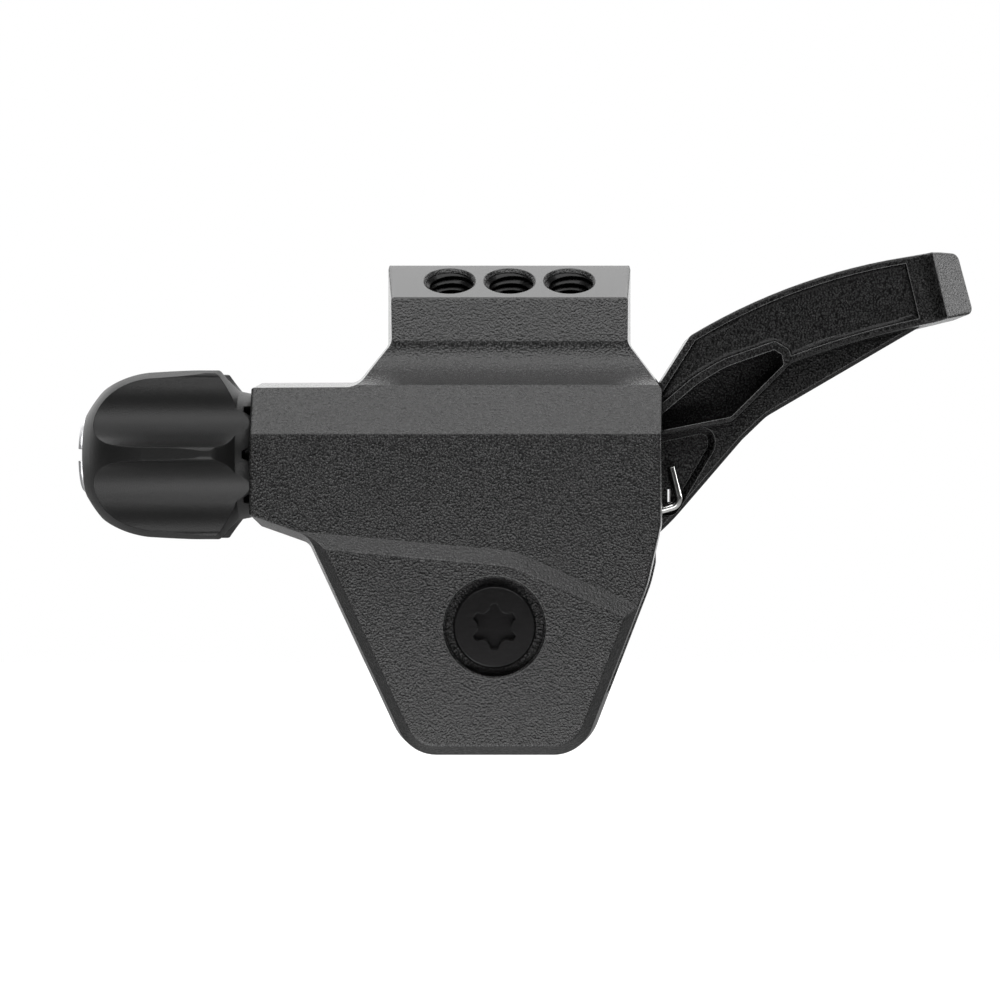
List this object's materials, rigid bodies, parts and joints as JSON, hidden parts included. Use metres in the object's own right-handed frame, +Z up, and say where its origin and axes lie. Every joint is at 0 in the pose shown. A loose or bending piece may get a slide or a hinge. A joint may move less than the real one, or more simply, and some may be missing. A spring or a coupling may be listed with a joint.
{
  "type": "dropper post remote lever",
  "caption": "Under-bar thumb lever on a pivot with bearings, in a drafted cast housing with a three-hole clamp boss and a fluted barrel adjuster for the cable.",
  "frame": {"origin": "centre of the middle clamp hole's mouth on the clamp face", "axes": "+X along the handlebar towards the thumb lever, +Z up to the handlebar, -Y to the front with the pivot bolt's head"},
  "size_m": [0.0913, 0.0194, 0.0519],
  "materials": {
    "cast_black": "black anodised, fine cast grain",
    "knob_plastic": "satin black",
    "black_steel": "black oxide, smooth",
    "bright_steel": "ground",
    "shield_steel": "pressed",
    "spring_steel": "bright drawn wire",
    "spacer_alloy": "turned",
    "barrel_alloy": "turned, bright",
    "brass": "turned",
    "seal_rubber": "matte"
  },
  "bodies": {
    "housing": {"housing": "cast_black", "pivot_bolt": "black_steel", "bearing_spacer": "spacer_alloy", "front_washer": "bright_steel", "rear_washer": "bright_steel", "front_inner_ring": "bright_steel", "rear_inner_ring": "bright_steel", "adjuster_o_ring": "seal_rubber"},
    "lever": {"thumb_lever": "cast_black", "front_outer_ring": "bright_steel", "rear_outer_ring": "bright_steel", "front_balls": "bright_steel", "rear_balls": "bright_steel", "front_shields": "shield_steel", "rear_shields": "shield_steel", "return_spring": "spring_steel"},
    "anchor": {"cable_anchor": "brass", "anchor_screw": "black_steel"},
    "knob": {"adjuster_knob": "knob_plastic", "adjuster_spring": "spring_steel"},
    "barrel": {"adjuster_bolt": "barrel_alloy"}
  },
  "joints": [
    {"name": "lever_pivot", "type": "hinge", "parent": "housing", "child": "lever", "pos_m": [-0.00153, -0.0016, -0.03538], "axis": [0, 1, 0], "range_deg": [0, 26], "stiffness_Nm_per_rad": 0.12, "springref_deg": -28.65, "deforming": ["return_spring"]},
    {"name": "anchor_swivel", "type": "hinge", "parent": "lever", "child": "anchor", "pos_m": [-0.00547, -0.0016, -0.01833], "axis": [0, 1, 0], "range_deg": [-26, 0]},
    {"name": "knob_turn", "type": "hinge", "parent": "housing", "child": "knob", "pos_m": [-0.03, -0.0016, -0.01813], "axis": [-1, 0, 0], "range_deg": [0, 1440.4]},
    {"name": "barrel_slide", "type": "slide", "parent": "knob", "child": "barrel", "axis": [-1, 0, 0], "range_m": [0, 0.0032], "deforming": ["adjuster_spring"]}
  ],
  "couplings": [
    {"joint": "anchor_swivel", "follows": "lever_pivot", "ratio": -1},
    {"joint": "knob_turn", "follows": "barrel_slide", "rad_per_m": 7854}
  ]
}
